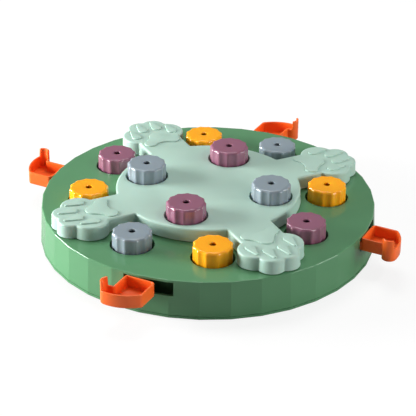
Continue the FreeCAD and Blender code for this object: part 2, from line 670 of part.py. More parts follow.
def tangent_angle(disc, other, bend):
    """Rim angles where the joint leaves one disc and meets the next, going counter-clockwise."""
    heading = math.atan2(other[1] - disc[1], other[0] - disc[0])
    if bend is None:
        lean = math.acos((disc[2] - other[2]) / math.dist(disc[:2], other[:2]))
        return (heading - lean) % (2 * math.pi), (heading - lean) % (2 * math.pi)
    middle = hollow_centre(disc, other, size(bend))
    leave = math.atan2(middle.y - disc[1], middle.x - disc[0])
    meet = math.atan2(middle.y - other[1], middle.x - other[0])
    return leave % (2 * math.pi), meet % (2 * math.pi)


def pad_sketch(body):
    """Four toe pads and the palm pad of the first paw, on its diagonal."""
    sketch = sketch_on(body, "pads", PAW_TOP)

    def at(out, side):
        return (f"({out}) * cos(45) - ({side}) * sin(45)", f"({out}) * sin(45) + ({side}) * cos(45)")

    for name in ("side", "mid"):
        for side in SIDES:
            across = f"{side} * Size.{name}_pad_side"
            rear = at(f"Size.toe_out - Size.{name}_pad_behind", across)
            tip = at(f"Size.toe_out - Size.{name}_pad_behind + Size.pad_length", across)
            tangent_loop(sketch, [(*rear, "Size.pad_round"), (*tip, "Size.pad_tip")], [None, None])
    lobes = [at("Size.toe_out - Size.palm_lobe_behind", f"{side} * Size.palm_lobe_side") for side in SIDES]
    front = at("Size.toe_out - Size.palm_front_behind", "0")
    tangent_loop(sketch, [(*lobes[0], "Size.palm_lobe"), (*front, "Size.palm_front"),
                          (*lobes[1], "Size.palm_lobe")], ["Size.palm_waist", "Size.palm_waist",
                                                           "Size.palm_hollow"])
    return sketch


def retaining_washer():
    """Washer under the hub that keeps the spindle in."""
    disc = cylinder("washer_disc", "Size.washer_radius", "Size.washer_thickness",
                    level=f"{WASHER_TOP} - Size.washer_thickness")
    hole = cylinder("washer_hole", "Size.axle_screw_radius + Size.thread_fit", "Size.base_top")
    return cut("retaining_washer", disc, [hole])


def axle_screw():
    """Screw from below into the spindle."""
    seat = f"({WASHER_TOP} - Size.washer_thickness)"
    head = cylinder("axle_head", "Size.axle_head_radius", "Size.axle_head_height",
                    level=f"{seat} - Size.axle_head_height")
    shank = cylinder("axle_shank", "Size.axle_screw_radius", "Size.axle_screw_length", level=seat)
    return fuse("axle_screw", [head, shank])


def peg(name, angle, ring, seat, flute_turn):
    """Fluted, hollow peg with a scent hole, standing in its well."""
    body = doc.addObject("PartDesign::Body", name)
    blank = feature(body, "Pad", f"{name}_blank", circle_sketch(body, f"{name}_round", "Size.peg_radius"),
                    "Size.peg_height")
    half = "(Size.peg_radius * sin(180 / Size.flute_count) - Size.flute_land / 2)"
    sag = f"(Size.flute_depth - Size.peg_radius + sqrt(pow(Size.peg_radius; 2) - pow({half}; 2)))"
    hollow = f"((pow({half}; 2) + pow({sag}; 2)) / (2 * {sag}))"
    flute = circle_sketch(body, f"{name}_flute_round", hollow, f"Size.peg_radius - Size.flute_depth + {hollow}")
    first = feature(body, "Pocket", f"{name}_flute", flute, "2 * Size.peg_height")
    pattern = ring_pattern(body, f"{name}_flutes", first, "Size.flute_count")
    doc.recompute()
    top = size("Size.peg_height")
    edges = [f"Edge{number + 1}" for number, edge in enumerate(pattern.Shape.Edges)
             if all(abs(vertex.Z - top) < 1e-6 for vertex in edge.Vertexes)]
    eased = body.newObject("PartDesign::Fillet", f"{name}_eased")
    eased.Base = (pattern, edges)
    eased.setExpression("Radius", "Size.peg_round")
    body.Tip = eased
    inside = circle_sketch(body, f"{name}_inside", "Size.peg_radius - Size.flute_depth - Size.peg_wall")
    feature(body, "Pocket", f"{name}_hollow", inside, "Size.peg_height - Size.peg_top")
    hole = circle_sketch(body, f"{name}_scent", "Size.peg_hole_radius")
    feature(body, "Pocket", f"{name}_hole", hole, "2 * Size.peg_height")
    doc.recompute()
    if not body.Shape.Volume < pattern.Shape.Volume < blank.Shape.Volume:
        raise RuntimeError(f"{name}: a cut took nothing away")
    return place(body, angle=angle, out=ring, level=seat, extra=f"{flute_turn} - ({angle})")


def pegs():
    """Eight pegs in the base and four in the paw plate."""
    made = []
    for quarter in QUARTERS:
        for side in SIDES:
            number = 2 * quarter + (side + 1) // 2 + 1
            made.append(peg(f"outer_peg_{number}", f"{90 * quarter} + {side} * Size.outer_spread",
                            OUTER_RING, WELL_FLOOR, "Size.outer_flute_turn"))
        made.append(peg(f"inner_peg_{quarter + 1}", f"{90 * quarter} + Size.plate_turn",
                        INNER_RING, INNER_FLOOR, "(Size.plate_turn + Size.inner_flute_turn)"))
    return made


def tray_solid(prefix, inset, level, height):
    """Quarter-round block about the pivot, drawn in by an inset: the tray or its inside."""
    drum = cylinder(f"{prefix}_drum", f"Size.tray_reach - {inset}", height, level=level)
    block = box(f"{prefix}_block", f"Size.tray_reach", f"Size.tray_front + Size.tray_depth - 2 * {inset}",
                height, out=f"Size.tray_back + {inset}", side=f"{inset} - Size.tray_front", level=level)
    quarter = common(f"{prefix}_quarter", drum, block)

    def at_inner_corner(edge):
        ends = edge.Vertexes
        upright = len(ends) == 2 and abs(ends[0].X - ends[1].X) + abs(ends[0].Y - ends[1].Y) < 1e-6
        return upright and ends[0].Y > size("Size.tray_depth") / 2

    return rounded(f"{prefix}_rounded", quarter, f"Size.tray_corner - {inset}", at_inner_corner)


def tab_ring(prefix, height):
    """Half-round scoop at the tray's free front corner, with its inside; it touches the curved wall."""
    middle = "sqrt(pow(Size.tray_reach - Size.tab_radius; 2) - pow(Size.tab_side; 2))"
    where = {"out": middle, "side": "0 - Size.tab_side"}
    return (cylinder(f"{prefix}_outside", "Size.tab_radius", height, **where),
            cylinder(f"{prefix}_inside", "Size.tab_radius - Size.tray_wall", height,
                     level="Size.tray_floor", **where))


def tray(quarter):
    """Swing-out tray with its knuckle, stop lug and finger tab, drawn closed and stored open."""
    name = f"tray_{quarter + 1}"
    outside = tray_solid(f"{name}_outer", "0", "0", "Size.tray_height")
    inside = tray_solid(f"{name}_inner", "Size.tray_wall", "Size.tray_floor", "Size.tray_height")
    scoop, scoop_inside = tab_ring(f"{name}_scoop", "Size.tray_height")
    tall = "Size.tray_height + Size.tab_rise"
    tab, tab_inside = tab_ring(f"{name}_tab", tall)
    keep_out = "(Size.pivot_inset + Size.tab_gap)"
    strip = box(f"{name}_strip", "Size.tray_reach", "Size.tab_radius + Size.tab_side", tall,
                side=f"0 - {keep_out} - Size.tab_radius - Size.tab_side")
    finger = common(f"{name}_finger", cut(f"{name}_tab_wall", tab, [tab_inside]), strip)
    barrel = cylinder(f"{name}_barrel", "Size.barrel_radius", "Size.barrel_height")
    ear = box(f"{name}_ear", "Size.tray_back + Size.tray_wall / 2", "Size.ear_inward + Size.tray_front",
              "Size.barrel_height", side="0 - Size.tray_front")
    stop_side = "(Size.stop_out * sin(Size.stop_angle + Size.tray_open) - Size.stop_radius - Size.lug_gap)"
    lug = box(f"{name}_lug", "Size.lug_reach", f"{stop_side} + Size.tray_front / 2", "Size.lug_height",
              out="0 - Size.lug_reach", side="0 - Size.tray_front / 2")
    body = fuse(f"{name}_body", [outside, scoop, finger, barrel, ear, lug])
    pin_bore = cylinder(f"{name}_bore", PIN_HOLE, "Size.tray_height")
    made = cut(name, body, [inside, scoop_inside, pin_bore])
    return place(made, level=TRAY_LEVEL, extra="90 - Size.tray_open", **pivot_place(quarter))


def pivot_pin(quarter):
    """Steel pin from the cover up into the plate."""
    return cylinder(f"pivot_pin_{quarter + 1}", "Size.pin_radius",
                    f"{PLATE_TOP} - Size.socket_floor - Size.pin_play - {SEAM}", level=SEAM,
                    **pivot_place(quarter))


def check_document():
    """Stop if any object failed."""
    doc.recompute()
    for thing in doc.Objects:
        if "Invalid" in thing.State or "Error" in thing.State:
            raise RuntimeError(f"{thing.Name} failed: {thing.State}")


def main():
    pieces = wall_pieces()
    pieces += [top_plate(), pivot_bosses(), peg_wells(), bottom_cover(), rubber_feet(), cover_screws()]
    pieces += paw_pieces()
    pieces += [retaining_washer(), axle_screw()]
    pieces += pegs()
    pieces += [tray(quarter) for quarter in QUARTERS]
    pieces += [pivot_pin(quarter) for quarter in QUARTERS]
    check_document()
    os.makedirs("parts", exist_ok=True)
    for piece in pieces:
        shape = piece.Shape
        if shape.isNull() or not shape.isValid() or not shape.Solids:
            raise RuntimeError(f"{piece.Label} has no sound solid")
        shape.exportStep(f"parts/{piece.Label}.step")
        print(piece.Label, len(shape.Solids), "solid", round(shape.Volume), "mm3")


main()
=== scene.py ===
"""Looks of the treat puzzle: base, fluted pegs, paw plate, swing-out trays, plastics, light and camera.

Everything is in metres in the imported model's frame: +Z up, the turning plate's axis is the Z axis, and
the rubber feet stand on Z = 0. Sizes in the code are given in millimetres and turned to metres by MM.
"""

import bmesh
import bpy
import numpy as np
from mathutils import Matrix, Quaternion, Vector, geometry


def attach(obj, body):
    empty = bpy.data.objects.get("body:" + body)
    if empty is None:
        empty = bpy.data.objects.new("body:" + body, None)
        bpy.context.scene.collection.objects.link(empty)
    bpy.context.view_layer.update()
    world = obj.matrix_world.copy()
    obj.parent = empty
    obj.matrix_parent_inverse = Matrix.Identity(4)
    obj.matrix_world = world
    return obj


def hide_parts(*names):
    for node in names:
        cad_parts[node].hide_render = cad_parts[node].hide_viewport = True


bl_info = {
    "name": "Treat puzzle looks",
    "version": (1, 0, 0),
    "blender": (4, 5, 0),
    "location": "3D View > Sidebar > Treat Puzzle",
    "description": "Dresses the treat puzzle in moulded plastic, and sets its floor, light and camera",
    "category": "Object",
}

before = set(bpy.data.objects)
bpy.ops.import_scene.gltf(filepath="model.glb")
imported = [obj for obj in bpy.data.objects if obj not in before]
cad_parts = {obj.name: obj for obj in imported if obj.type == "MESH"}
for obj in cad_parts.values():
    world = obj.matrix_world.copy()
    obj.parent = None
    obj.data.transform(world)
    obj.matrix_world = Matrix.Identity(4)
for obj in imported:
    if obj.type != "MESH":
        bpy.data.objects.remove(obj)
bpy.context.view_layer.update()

MM = 0.001
QUARTERS = range(4)
TURN = 2 * np.pi
# Points round a large circle, and a radius so small that a closed pole's points merge
ROUND = 96
POLE = 1e-4
# Metres within which points merge, and the angle in degrees past which an edge is drawn sharp
MERGE = 2e-6
CREASE = 32


def linear(hex_colour):
    """Linear colour of an sRGB hex value: c / 12.92 below 0.04045, else ((c + 0.055) / 1.055) ** 2.4."""
    channels = [int(hex_colour[at:at + 2], 16) / 255 for at in (1, 3, 5)]
    return tuple(c / 12.92 if c <= 0.04045 else ((c + 0.055) / 1.055) ** 2.4 for c in channels)


# Paths and surfaces, worked out as whole arrays


def arc(centre, radius, start, end, step=0.9):
    """Points and outward normals of an arc: centre + radius * (cos a, sin a) for a from start to end.

    An arc that runs clockwise is a hollow one, so its outward normals point at its centre. The
    step is the longest chord in millimetres, and no chord turns by more than six degrees.
    """
    sweep = abs(end - start)
    count = int(np.ceil(max(sweep * radius / step, sweep / np.radians(6), 2))) + 1
    angles = np.linspace(start, end, count)
    spokes = np.stack((np.cos(angles), np.sin(angles)), axis=1)
    return np.asarray(centre) + radius * spokes, np.sign(end - start) * spokes


def segment(start, end):
    """Two points and their outward normals: the direction turned clockwise by a right angle."""
    start, end = np.asarray(start, float), np.asarray(end, float)
    along = (end - start) / np.linalg.norm(end - start)
    return np.stack((start, end)), np.tile((along[1], -along[0]), (2, 1))


def join(parts, closed=True):
    """One path of points and normals: each part's last point is the next one's first.

    The last part's last point is the path's first where the path is closed, and stays where it is open.
    """
    points, normals = (np.concatenate([part[side][:-1] for part in parts]) for side in (0, 1))
    if closed:
        return points, normals
    return np.vstack((points, parts[-1][0][-1])), np.vstack((normals, parts[-1][1][-1]))


def bearing(start, end):
    """Angle of the direction from one point to another."""
    return np.arctan2(end[1] - start[1], end[0] - start[0])


def onward(start, end):
    """The angle end, raised by whole turns until it is past start."""
    return end + TURN * np.ceil((start - end) / TURN)


def backward(start, end):
    """The angle end, lowered by whole turns until it is before start."""
    return end - TURN * np.ceil((end - start) / TURN)


def hollow_centre(disc, other, radius):
    """Centre of the hollow arc that touches two discs, on the right of the way between them.

    It lies where the circles of radius (disc + arc) about the two centres cross.
    """
    a, b = np.asarray(disc[:2], float), np.asarray(other[:2], float)
    gap = np.linalg.norm(b - a)
    near, far = disc[2] + radius, other[2] + radius
    along = (gap ** 2 + near ** 2 - far ** 2) / (2 * gap)
    across = np.sqrt(near ** 2 - along ** 2)
    unit = (b - a) / gap
    return a + along * unit + across * np.array((unit[1], -unit[0]))


def round_discs(discs, bends):
    """Closed path round discs (x, y, radius), counter-clockwise.

    Each joint is the discs' outer tangent line where its bend is None, or a hollow arc of that
    radius which touches both. The tangent leaves at the heading less acos((r1 - r2) / distance).
    """
    count = len(discs)
    links = []
    for at in range(count):
        disc, other = discs[at], discs[(at + 1) % count]
        if bends[at] is None:
            gap = np.hypot(other[0] - disc[0], other[1] - disc[1])
            lean = bearing(disc, other) - np.arccos((disc[2] - other[2]) / gap)
            links.append((lean, lean, None))
        else:
            middle = hollow_centre(disc, other, bends[at])
            links.append((bearing(disc, middle), bearing(other, middle), middle))
    parts = []
    for at in range(count):
        disc, other = discs[at], discs[(at + 1) % count]
        begin, (leave, meet, middle) = links[at - 1][1], links[at]
        parts.append(arc(disc[:2], disc[2], begin, onward(begin, leave)))
        if middle is None:
            end = np.asarray(other[:2]) + other[2] * np.array((np.cos(meet), np.sin(meet)))
            parts.append(segment(parts[-1][0][-1], end))
        else:
            parts.append(arc(middle, bends[at], leave + np.pi, backward(leave + np.pi, meet + np.pi)))
    return join(parts)


def spin(angle):
    """Matrix that turns points, written as rows (x, y), about the origin by an angle in degrees."""
    c, s = np.cos(np.radians(angle)), np.sin(np.radians(angle))
    return np.array(((c, s), (-s, c)))


def turned(path, angle):
    """Path turned about the origin by an angle in degrees."""
    return path[0] @ spin(angle), path[1] @ spin(angle)


def circle(centre, radius, count=ROUND):
    """Closed circular path with a fixed count of points."""
    angles = np.linspace(0, TURN, count, endpoint=False)
    spokes = np.stack((np.cos(angles), np.sin(angles)), axis=1)
    return np.asarray(centre) + radius * spokes, spokes


def quarter_round(inset, level, radius, start, end, count=6):
    """Rows (inset, level) round a corner: centre + radius * (-cos a, sin a), a in degrees."""
    angles = np.radians(np.linspace(start, end, count))
    return np.stack((inset - radius * np.cos(angles), level + radius * np.sin(angles)), axis=1)


class Surface:
    """Points and faces collected for one mesh; every part is a grid or a flat fill."""

    def __init__(self):
        self.points = []
        self.faces = []
        self.total = 0

    def add(self, points, faces):
        """Points, and faces that number them from 0: each corner is raised by the points before them."""
        self.points.append(np.asarray(points, float).reshape(-1, 3))
        self.faces.append(np.asarray(faces) + self.total)
        self.total += len(self.points[-1])

    def grid(self, rows, gaps=False):
        """Quads between neighbours of a (rows, columns, 3) grid, closed along its columns, less gaps."""
        count, width = rows.shape[:2]
        index = np.arange(count * width).reshape(count, width)
        after = np.roll(index, -1, axis=1)
        quads = np.stack((index[:-1], after[:-1], after[1:], index[1:]), axis=-1)
        self.add(rows, quads[~np.broadcast_to(gaps, (count - 1, width))])

    def copy_in(self, other, angle):
        """All of another surface, turned about the axis by an angle in degrees."""
        points = np.concatenate(other.points)
        self.points.append(np.column_stack((points[:, :2] @ spin(angle), points[:, 2])))
        self.faces += [faces + self.total for faces in other.faces]
        self.total += len(points)

    def carry(self, path, rows):
        """Profile rows (inset, level) carried along a closed path: point - inset * normal, at the level.

        A level may be an array with one height for each point of the path.
        """
        plan = [path[0] - inset * path[1] for inset, level in rows]
        levels = [np.broadcast_to(level, len(path[0])) for inset, level in rows]
        self.grid(np.stack([np.column_stack(pair) for pair in zip(plan, levels)]))

    def revolve(self, centre, rows, count=ROUND):
        """Rows (radius, level) turned about an upright axis; a radius of nearly zero closes the pole."""
        spokes = circle((0, 0), 1, count)[0]
        self.grid(np.stack([np.column_stack((centre + radius * spokes, np.full(count, level)))
                            for radius, level in rows]))

    def fill(self, level, outer, holes=()):
        """Flat face between a closed outline and its holes.

        Of a Delaunay triangulation that keeps all these edges, the triangles stay whose middles lie
        inside the outline and outside every hole.
        """
        loops = [outer, *holes]
        flat = np.concatenate(loops)
        starts = np.cumsum([0] + [len(loop) for loop in loops])
        edges = np.concatenate([np.column_stack((np.arange(a, b), np.roll(np.arange(a, b), -1)))
                                for a, b in zip(starts[:-1], starts[1:])])
        within_edges, nearness = 1, 1e-5
        made = geometry.delaunay_2d_cdt([Vector(point) for point in flat], edges.tolist(), [],
                                        within_edges, nearness)
        points, triangles = np.array(made[0]), np.array(made[2])
        middles = points[triangles].mean(axis=1)
        keep = inside(middles, outer)
        for hole in holes:
            keep &= ~inside(middles, hole)
        self.add(np.column_stack((points, np.full(len(points), level))), triangles[keep])


def inside(points, loop):
    """Even-odd test: how many edges of the loop a ray along +X from each point crosses."""
    x, y = points[:, :1], points[:, 1:]
    ax, ay = loop[:, 0], loop[:, 1]
    bx, by = np.roll(ax, -1), np.roll(ay, -1)
    spans = (ay > y) != (by > y)
    with np.errstate(divide="ignore", invalid="ignore"):
        reach = ax + (y - ay) * (bx - ax) / (by - ay)
    return (spans & (x < reach)).sum(axis=1) % 2 == 1


def finished(name, surface, body, material, replaces, turn=0, move=(0, 0, 0)):
    """Object from a surface in millimetres: turned about +Z, moved, seams merged, faces outwards, smooth.

    The turn is in degrees, and the object itself stays at the origin, with its place in its mesh.
    """
    points = np.concatenate(surface.points)
    points = (np.column_stack((points[:, :2] @ spin(turn), points[:, 2])) + move) * MM
    mesh = bpy.data.meshes.new(name)
    mesh.from_pydata(points, [], [face for faces in surface.faces for face in faces.tolist()])
    work = bmesh.new()
    work.from_mesh(mesh)
    bmesh.ops.remove_doubles(work, verts=work.verts, dist=MERGE)
    bmesh.ops.dissolve_degenerate(work, edges=work.edges, dist=MERGE / 20)
    bmesh.ops.recalc_face_normals(work, faces=work.faces)
    work.to_mesh(mesh)
    work.free()
    mesh.shade_smooth()
    mesh.set_sharp_from_angle(angle=np.radians(CREASE))
    piece = bpy.data.objects.new(name, mesh)
    bpy.context.scene.collection.objects.link(piece)
    mesh.materials.append(material)
    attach(piece, body)
    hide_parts(*replaces)
    return piece


# Materials


def add_node(tree, kind, links=None, **settings):
    """New node of a kind, with input values by name or number, other settings, and links into it."""
    node = tree.nodes.new(kind)
    for key, value in settings.items():
        if key == "inputs":
            for socket, number in value.items():
                node.inputs[socket].default_value = number
        else:
            setattr(node, key, value)
    for socket, source in (links or {}).items():
        tree.links.new(source, node.inputs[socket])
    return node


def empty_tree(owner):
    """Node tree of a material or world, switched on and emptied."""
    owner.use_nodes = True
    owner.node_tree.nodes.clear()
    return owner.node_tree


def moulded_plastic(name, colour, roughness, grain_depth, translucence=0.0, glow=(1.0, 0.5, 0.3)):
    """Injection-moulded thermoplastic: satin skin from a blasted mould, faint flow, polished patches.

    Translucence is the share of light that goes 3 mm deep, and glow says how far each colour of it does.
    """
    material = bpy.data.materials.new(name)
    tree = empty_tree(material)
    place = add_node(tree, "ShaderNodeTexCoord").outputs["Object"]
    # Flow of the melt leaves cloudy patches about 40 mm across, two percent or so lighter or darker
    cloud = add_node(tree, "ShaderNodeTexNoise", {"Vector": place},
                     inputs={"Scale": 1 / 0.040, "Detail": 3.0, "Roughness": 0.55})
    # The mould's blasted skin has a grain near 0.15 mm, drawn at 0.9 mm so that it shows at all
    grain = add_node(tree, "ShaderNodeTexNoise", {"Vector": place},
                     inputs={"Scale": 1 / 0.0009, "Detail": 2.0, "Roughness": 0.6})
    shade = add_node(tree, "ShaderNodeMapRange", {"Value": cloud.outputs["Fac"]},
                     inputs={"From Min": 0.3, "From Max": 0.7, "To Min": 0.975, "To Max": 1.02})
    # Inputs 6 and 7 are the two colours: black, and the plastic's, which the shade may pass by 2 percent
    tint = add_node(tree, "ShaderNodeMix", {"Factor": shade.outputs["Result"]}, data_type="RGBA",
                    clamp_factor=False, inputs={6: (0, 0, 0, 1), 7: (*colour, 1)})
    # Handling polishes the skin in patches about 15 mm across
    rub = add_node(tree, "ShaderNodeTexNoise", {"Vector": place},
                   inputs={"Scale": 1 / 0.015, "Detail": 4.0, "Roughness": 0.6})
    spread = 0.012
    gloss = add_node(tree, "ShaderNodeMapRange", {"Value": rub.outputs["Fac"]},
                     inputs={"From Min": 0.3, "From Max": 0.7, "To Min": roughness - spread,
                             "To Max": roughness + spread})
    bump = add_node(tree, "ShaderNodeBump", {"Height": grain.outputs["Fac"]},
                    inputs={"Strength": 1.0, "Distance": grain_depth})
    # Both ABS and polypropylene refract light at about 1.5
    shader = add_node(tree, "ShaderNodeBsdfPrincipled",
                      {"Base Color": tint.outputs[2], "Roughness": gloss.outputs["Result"],
                       "Normal": bump.outputs["Normal"]},
                      inputs={"IOR": 1.5, "Subsurface Weight": translucence, "Subsurface Scale": 0.003,
                              "Subsurface Radius": glow})
    add_node(tree, "ShaderNodeOutputMaterial", {"Surface": shader.outputs["BSDF"]})
    return material


def turned_steel(name, colour):
    """Bright zinc-plated steel, turned: fine rings about the part's axis, 0.4 mm apart.

    Bands of a wave texture repeat at 0.1 pi / scale, so the scale is 0.1 pi over the rings' distance.
    """
    rings_apart = 0.0003948
    material = bpy.data.materials.new(name)
    tree = empty_tree(material)
    place = add_node(tree, "ShaderNodeTexCoord").outputs["Object"]
    rings = add_node(tree, "ShaderNodeTexWave", {"Vector": place}, wave_type="BANDS", bands_direction="Z",
                     inputs={"Scale": 0.1 * np.pi / rings_apart, "Distortion": 0.4})
    bump = add_node(tree, "ShaderNodeBump", {"Height": rings.outputs["Fac"]},
                    inputs={"Strength": 0.3, "Distance": 0.00002})
    shader = add_node(tree, "ShaderNodeBsdfPrincipled", {"Normal": bump.outputs["Normal"]},
                      inputs={"Base Color": (*colour, 1), "Metallic": 1.0, "Roughness": 0.32})
    add_node(tree, "ShaderNodeOutputMaterial", {"Surface": shader.outputs["BSDF"]})
    return material


def dressed(node, material):
    """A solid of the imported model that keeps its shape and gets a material."""
    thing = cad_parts[node]
    thing.data.materials.clear()
    thing.data.materials.append(material)


def length(name, description, millimetres):
    """Property for a length, with its default in millimetres."""
    return bpy.props.FloatProperty(name=name, description=description, default=millimetres * MM,
                                   min=0.0, precision=5, unit="LENGTH", subtype="DISTANCE")


def paint(name, description, hex_colour):
    """Property for a colour, with its default as an sRGB hex value."""
    return bpy.props.FloatVectorProperty(name=name, description=description, subtype="COLOR", size=3,
                                         min=0.0, max=1.0, default=linear(hex_colour))


class PuzzleSizes(bpy.types.PropertyGroup):
    """Sizes of the moulded details."""

    peg_radius: length("Peg radius", "Centre to a crest of a peg's fluted side", 17.0)
    peg_height: length("Peg height", "Whole peg", 23.0)
    peg_wall: length("Peg wall", "Side wall behind the deepest flute", 1.8)
    peg_round: length("Peg edge", "Rounding of a peg's top edge", 2.0)
    flute_depth: length("Flute depth", "Crest to the bottom of a flute", 0.9)
    crest_radius: length("Crest", "Rounding of a crest between two flutes", 3.2)
    scent_hole: length("Scent hole", "Radius of the hole in a peg's top", 3.0)
    rim_round: length("Rim", "Rounding of the base's rim", 0.9)
    plate_round: length("Plate edge", "Rounding of the paw plate's top edge", 1.8)
    pad_proud: length("Pad height", "Raised pads above the paw plate", 0.9)
    pad_edge: length("Pad edge", "Rounding of a raised pad", 0.45)
    tray_wall: length("Tray wall", "Thickness of a tray's wall", 1.6)
    tray_rise: length("Tab rise", "Finger tab above a tray's rim", 8.0)


class PuzzleColours(bpy.types.PropertyGroup):
    """Colours of the plastics and the floor."""

    base: paint("Base", "Leaf green of the base and its cover", "#598C64")
    plate: paint("Paw plate", "Pale mint of the turning plate", "#A7C5B7")
    purple: paint("Purple pegs", "Dusty purple", "#8C5C70")
    grey: paint("Grey pegs", "Slate blue-grey", "#88959D")
    yellow: paint("Yellow pegs", "Amber yellow", "#FFA91A")
    orange: paint("Trays", "Warm orange", "#F46A24")
    rubber: paint("Feet", "Off-white rubber", "#C9CBC6")
    steel: paint("Screws", "Bright zinc plating", "#C4C6C8")
    floor: paint("Floor", "Plain pale floor", "#F2F2F2")


def colours():
    """The property group of the colours."""
    return bpy.context.scene.puzzle_colours


def mm(name):
    """A size of the property group in millimetres."""
    return getattr(bpy.context.scene.puzzle_sizes, name) / MM


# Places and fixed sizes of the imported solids, in millimetres and degrees
PLATE_TURN = -1.4
TRAY_TURN = -10.0
OUTER_RING = 103.7
OUTER_SPREAD = 19.8
INNER_RING = 57.1
WELL_RADIUS = 18.6
WELL_LIP = 0.5
WELL_CORNER = 0.8
WELL_MID = 9.0
BASE_RADIUS = 145.0
BASE_WALL = 2.5
BASE_TOP = 35.0
WELL_FLOOR = BASE_TOP - 10.5
PAW_EDGE = BASE_TOP + 0.6
PAW_TOP = BASE_TOP + 12.5
INNER_FLOOR = PAW_TOP - 10.5
PAW_WALL = 2.0
SPINDLE = 9.0
SPINDLE_FOOT = BASE_TOP - 9.2
FACETS = 36
FLARE = 1.5
SEAM = 3.0
UNDERSIDE = BASE_TOP - 2.0
SLOT_FLOOR = BASE_TOP - 14.3
SLOT_ENDS = (-26.7, 16.6)
DISC = (0.0, 0.0, 80.5)
NECK_HALF = 20.2
HEEL = (116.5, 13.6, 15.6)
TOE = (131.0, 6.5, 11.8)
VALLEY = 1.6
PIVOT_OUT = 139.498
PIVOT_SIDE = -21.8
PIN_HOLE = 1.55
TRAY_LEVEL = BASE_TOP - 13.8
FLUTES = 12


def crest_path():
    """Fluted outline of a peg: small crest discs joined by broad hollow arcs.

    With crest centres at distance c from the axis, s = c sin(15), k = valley - c cos(15) and crest
    radius r, the hollow arc's radius is (k^2 + s^2 - r^2) / (2 (r - k)).
    """
    crest = mm("crest_radius")
    centre = mm("peg_radius") - crest
    half = np.pi / FLUTES
    s, k = centre * np.sin(half), mm("peg_radius") - mm("flute_depth") - centre * np.cos(half)
    bend = (k ** 2 + s ** 2 - crest ** 2) / (2 * (crest - k))
    angles = (np.arange(FLUTES) + 0.5) * TURN / FLUTES
    discs = [(centre * np.cos(a), centre * np.sin(a), crest) for a in angles]
    return round_discs(discs, [bend] * FLUTES)


def peg_surface():
    """Peg as one closed grid: columns follow the fluted outline, rows run round the wall's section.

    From the foot up the fluted side, over the rounded edge, in to the scent hole, down through it, out
    along the ceiling and down the smooth bore. Rows of the side keep an inset from the outline; the
    others are circles met at the same bearings.
    """
    path = crest_path()
    height, edge, hole = mm("peg_height"), mm("peg_round"), mm("scent_hole")
    bore = mm("peg_radius") - mm("flute_depth") - mm("peg_wall")
    roof = 2.0
    ceiling = height - roof
    # Roundings of the foot and the hole's lip, the hole's inner edge, the ceiling's corner, the bore's mouth
    lip, cut, fillet, rub = 0.35, 0.2, 1.0, 0.1
    bearings = np.arctan2(path[0][:, 1], path[0][:, 0])
    spokes = np.stack((np.cos(bearings), np.sin(bearings)), axis=1)

    def row(plan, level):
        """One row of the grid: the points of a plan, all at one level."""
        return np.column_stack((plan, np.full(len(spokes), level)))

    side = [*quarter_round(lip, lip, lip, -90, 0, 4), *quarter_round(edge, height - edge, edge, 0, 90, 9)]
    rows = [row(path[0] - inset * path[1], level) for inset, level in side]
    # The flat top: shares of the way from the rounded edge in to the hole's lip
    start = path[0] - edge * path[1]
    reach = np.linalg.norm(start, axis=1)[:, None]
    rows += [row(start / reach * (reach + (hole + lip - reach) * share), height)
             for share in (0.02, 0.35, 0.7, 1.0)]
    inner = quarter_round(hole + lip, height - lip, lip, 90, 0, 5)[1:].tolist()
    inner += [(hole, ceiling + cut), (hole + cut, ceiling), (bore - fillet, ceiling),
              (bore - 0.3 * fillet, ceiling - 0.3 * fillet), (bore, ceiling - fillet), (bore, lip),
              (bore + rub, rub), (bore + lip, 0.0)]
    rows += [row(radius * spokes, level) for radius, level in inner]
    surface = Surface()
    surface.grid(np.stack([*rows, rows[0]]))
    return surface


def ring_place(angle, ring, level):
    """Point at an angle in degrees on a ring about the axis, at a level."""
    return ring * np.cos(np.radians(angle)), ring * np.sin(np.radians(angle)), level


class PUZZLE_OT_pegs(bpy.types.Operator):
    """Make the twelve fluted lift-out pegs."""

    bl_idname = "puzzle.pegs"
    bl_label = "Fluted pegs"

    def execute(self, context):
        # ABS takes a high gloss from a polished mould, so the pegs carry small bright glints. Light
        # reaches further into the amber plastic than into the two darker ones
        depths = {"purple": 0.1, "grey": 0.1, "yellow": 0.4}
        plastics = {name: moulded_plastic(f"moulded_abs_{name}", getattr(colours(), name), roughness=0.14,
                                          grain_depth=0.000004, translucence=depth, glow=(1.0, 0.5, 0.2))
                    for name, depth in depths.items()}
        # Colour, place of the foot and turn of each peg: an outer one is turned by half a flute's pitch
        pegs = {}
        for number, name in enumerate(("purple", "yellow", "grey", "yellow") * 2, start=1):
            quarter, side = divmod(number - 1, 2)
            place = ring_place(90 * quarter + (2 * side - 1) * OUTER_SPREAD, OUTER_RING, WELL_FLOOR)
            pegs[f"outer_peg_{number}"] = (name, place, 180 / FLUTES)
        for number, name in enumerate(("grey", "purple") * 2, start=1):
            place = ring_place(90 * (number - 1) + PLATE_TURN, INNER_RING, INNER_FLOOR)
            pegs[f"inner_peg_{number}"] = (name, place, PLATE_TURN)
        surface = peg_surface()
        for node, (name, place, turn) in pegs.items():
            finished(f"{node}_moulding", surface, node, plastics[name], (node,),
                     turn, place)
        return {"FINISHED"}


